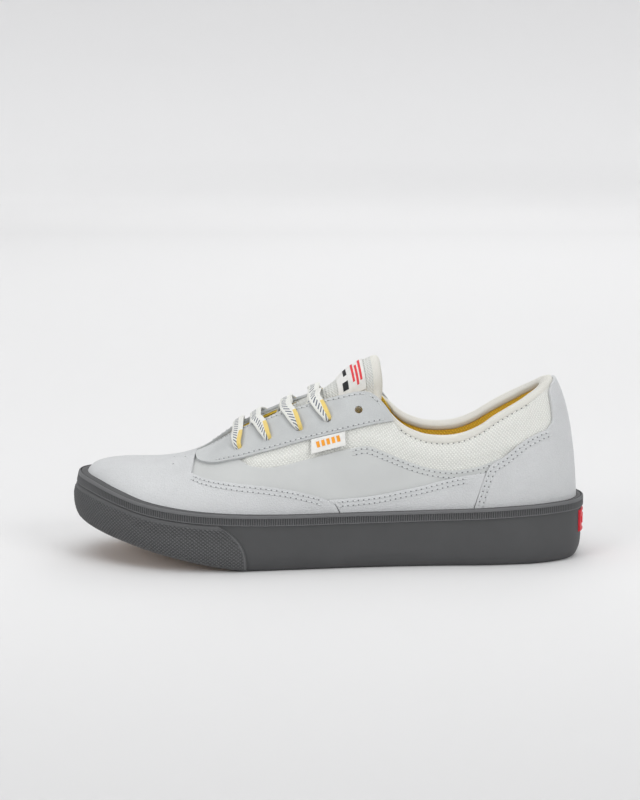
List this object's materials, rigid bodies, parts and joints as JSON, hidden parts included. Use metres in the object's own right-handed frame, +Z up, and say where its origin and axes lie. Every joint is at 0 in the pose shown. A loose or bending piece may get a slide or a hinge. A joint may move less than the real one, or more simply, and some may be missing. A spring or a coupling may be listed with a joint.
{
  "type": "low lace-up shoe",
  "caption": "Low lace-up shoe with layered leather, suede and knit upper, padded collar and tongue, and a vulcanised rubber sole, left foot.",
  "frame": {"origin": "on the ground under the middle of the sole's length and width", "axes": "+X towards the heel, along the shoe's length; +Y towards the inner side of the foot; +Z up"},
  "size_m": [0.2938, 0.1065, 0.1156],
  "materials": {
    "rubber_grey": "matte moulded rubber, dark grey",
    "rubber_gum": "matte gum rubber",
    "rubber_red": "satin moulded rubber, red",
    "leather_tumbled": "tumbled grain leather, cool light grey",
    "leather_smooth": "smooth leather, light grey",
    "suede": "suede, light grey",
    "knit_white": "textured knit, off-white",
    "binding": "woven tape, off-white",
    "lining_yellow": "mesh lining, amber yellow",
    "foam": "open-cell foam",
    "board": "fibre board",
    "lace": "flat woven lace, off-white with grey and yellow flecks",
    "aglet": "clear film tip"
  },
  "bodies": {
    "shoe": {"outsole": "rubber_gum", "midsole": "foam", "insole_board": "board", "sockliner": "lining_yellow", "foxing_tape": "rubber_grey", "foxing_stripe": "rubber_grey", "toe_bumper": "rubber_grey", "heel_tab": "rubber_red", "side_panel_lateral": "leather_smooth", "side_panel_medial": "leather_smooth", "lower_quarter_lateral": "leather_tumbled", "lower_quarter_medial": "leather_tumbled", "quarter_mesh_lateral": "knit_white", "quarter_mesh_medial": "knit_white", "eyestay_lateral": "suede", "eyestay_medial": "suede", "eyestay_backing_lateral": "binding", "eyestay_backing_medial": "binding", "heel_counter": "leather_tumbled", "heel_stiffener": "board", "vamp": "leather_tumbled", "toe_puff": "board", "vamp_lining": "knit_white", "quarter_lining": "lining_yellow", "collar_foam": "foam", "collar_binding": "binding", "lace": "lace", "lace_end_lateral": "lace", "lace_end_medial": "lace", "aglet_lateral": "aglet", "aglet_medial": "aglet"},
    "tongue": {"tongue_face": "knit_white", "tongue_foam": "foam", "tongue_lining": "knit_white", "tongue_hem": "binding", "tongue_label": "binding"},
    "side_label": {"side_label": "binding"}
  },
  "joints": [
    {"name": "tongue_hinge", "type": "hinge", "parent": "shoe", "child": "tongue", "pos_m": [-0.06, 0, 0.054], "axis": [0, 1, 0], "range_deg": [0, 10]},
    {"name": "side_label_flap", "type": "hinge", "parent": "shoe", "child": "side_label", "pos_m": [0.0006, -0.0319, 0.0743], "axis": [0.9716, 0.0996, 0.2147], "range_deg": [-70, 0]}
  ]
}
